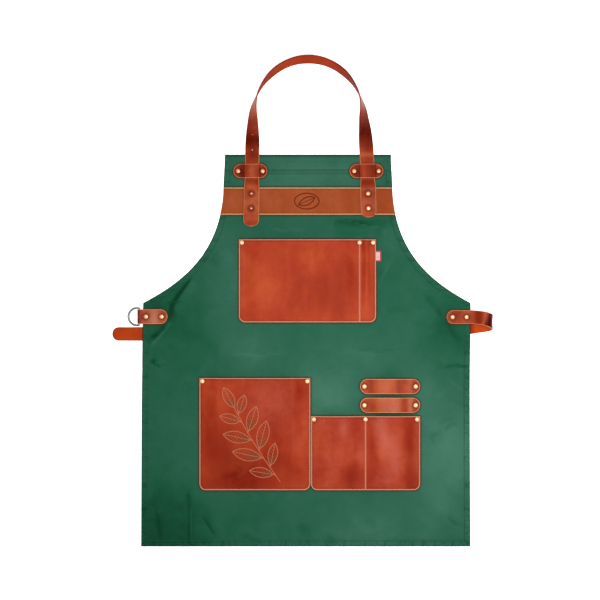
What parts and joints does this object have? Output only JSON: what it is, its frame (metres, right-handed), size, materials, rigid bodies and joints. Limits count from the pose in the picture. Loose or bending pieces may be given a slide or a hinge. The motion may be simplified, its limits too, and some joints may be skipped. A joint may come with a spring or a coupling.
{
  "type": "gardening apron",
  "caption": "Bib apron of green canvas lying flat, with leather neck and waist straps, chest band, riveted leather pockets, tool loops and a D-ring at the hip.",
  "frame": {"origin": "on the surface the apron lies on, under the middle of its box", "axes": "+X to the right of the front as it is seen, +Y along the apron towards the neck strap, +Z out of the front"},
  "size_m": [0.7762, 1.004, 0.0292],
  "materials": {
    "green_canvas": "matt woven cotton canvas",
    "band_leather": "semi-matt vegetable-tanned leather",
    "pocket_leather": "waxed pull-up leather",
    "strap_leather": "waxed pull-up leather",
    "label_cloth": "woven label, plain",
    "rivet_brass": "polished copper-gold rivet caps",
    "ring_chrome": "polished"
  },
  "bodies": {
    "root": {"canvas_body": "green_canvas", "chest_band": "band_leather", "chest_pocket": "pocket_leather", "lower_left_pocket": "pocket_leather", "lower_right_pocket": "pocket_leather", "left_keeper": "strap_leather", "right_keeper": "strap_leather", "upper_tool_loop": "pocket_leather", "lower_tool_loop": "pocket_leather", "neck_strap": "strap_leather", "waist_strap": "strap_leather", "ring_tab": "strap_leather", "pocket_label": "label_cloth", "chest_pocket_rivet_1": "rivet_brass", "chest_pocket_rivet_2": "rivet_brass", "chest_pocket_rivet_3": "rivet_brass", "lower_left_pocket_rivet_1": "rivet_brass", "lower_left_pocket_rivet_2": "rivet_brass", "lower_right_pocket_rivet_1": "rivet_brass", "lower_right_pocket_rivet_2": "rivet_brass", "lower_right_pocket_rivet_3": "rivet_brass", "left_keeper_rivet_1": "rivet_brass", "left_keeper_rivet_2": "rivet_brass", "right_keeper_rivet_1": "rivet_brass", "right_keeper_rivet_2": "rivet_brass", "upper_tool_loop_rivet_1": "rivet_brass", "upper_tool_loop_rivet_2": "rivet_brass", "lower_tool_loop_rivet_1": "rivet_brass", "lower_tool_loop_rivet_2": "rivet_brass", "neck_stud_1": "rivet_brass", "neck_rivet_1": "rivet_brass", "neck_stud_2": "rivet_brass", "neck_rivet_2": "rivet_brass", "tab_rivet_1": "rivet_brass", "tab_rivet_2": "rivet_brass", "waist_rivet_1": "rivet_brass", "waist_rivet_2": "rivet_brass"},
    "ring": {"d_ring": "ring_chrome"}
  },
  "joints": [
    {"name": "ring_swing", "type": "hinge", "parent": "root", "child": "ring", "pos_m": [-0.33262, -0.03266, 0.00471], "axis": [0, 1, 0], "range_deg": [0, 125]}
  ]
}
